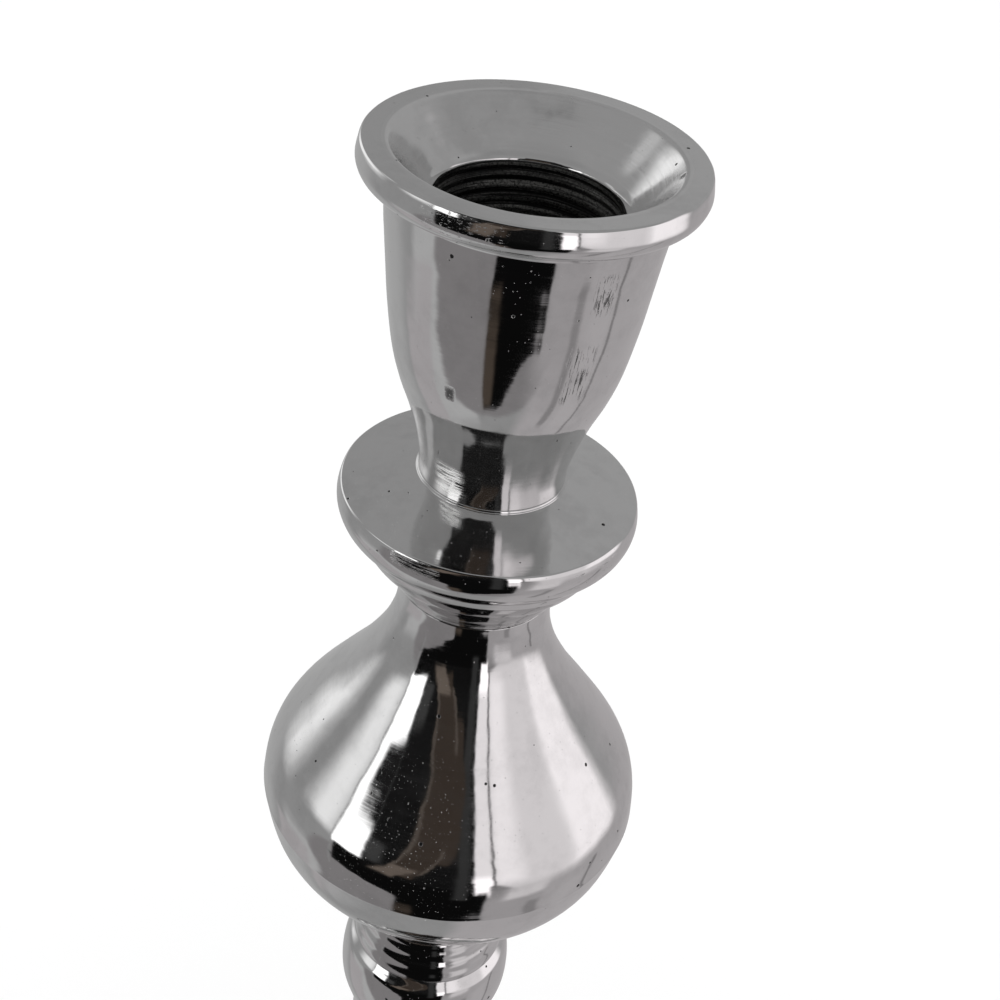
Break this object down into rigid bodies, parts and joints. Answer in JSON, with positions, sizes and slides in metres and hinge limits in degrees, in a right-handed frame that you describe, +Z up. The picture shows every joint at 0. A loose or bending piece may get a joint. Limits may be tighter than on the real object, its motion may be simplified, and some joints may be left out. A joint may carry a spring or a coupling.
{
  "type": "candlestick",
  "caption": "Tall turned candlestick for one taper candle, with a drip pan, a pear-shaped knop, a baluster stem and a round stepped base.",
  "frame": {"origin": "on the candlestick's axis, at the underside of the felt pad", "axes": "+Z up along the axis of the stem; X and Y are any two directions across it, because the object is round"},
  "size_m": [0.128, 0.128, 0.33],
  "materials": {
    "plated_casting": "cast, turned, polished and nickel plated, with small casting pits",
    "zinc_steel": "zinc plated",
    "felt": "pressed wool felt"
  },
  "bodies": {
    "root": {"candle_cup": "plated_casting", "drip_pan": "plated_casting", "pear_knop": "plated_casting", "knop_collar": "plated_casting", "stem_baluster": "plated_casting", "stem_collar": "plated_casting", "base": "plated_casting", "tie_rod": "zinc_steel", "spreader_washer": "zinc_steel", "lock_washer": "zinc_steel", "hex_nut": "zinc_steel", "felt_pad": "felt"}
  },
  "joints": []
}
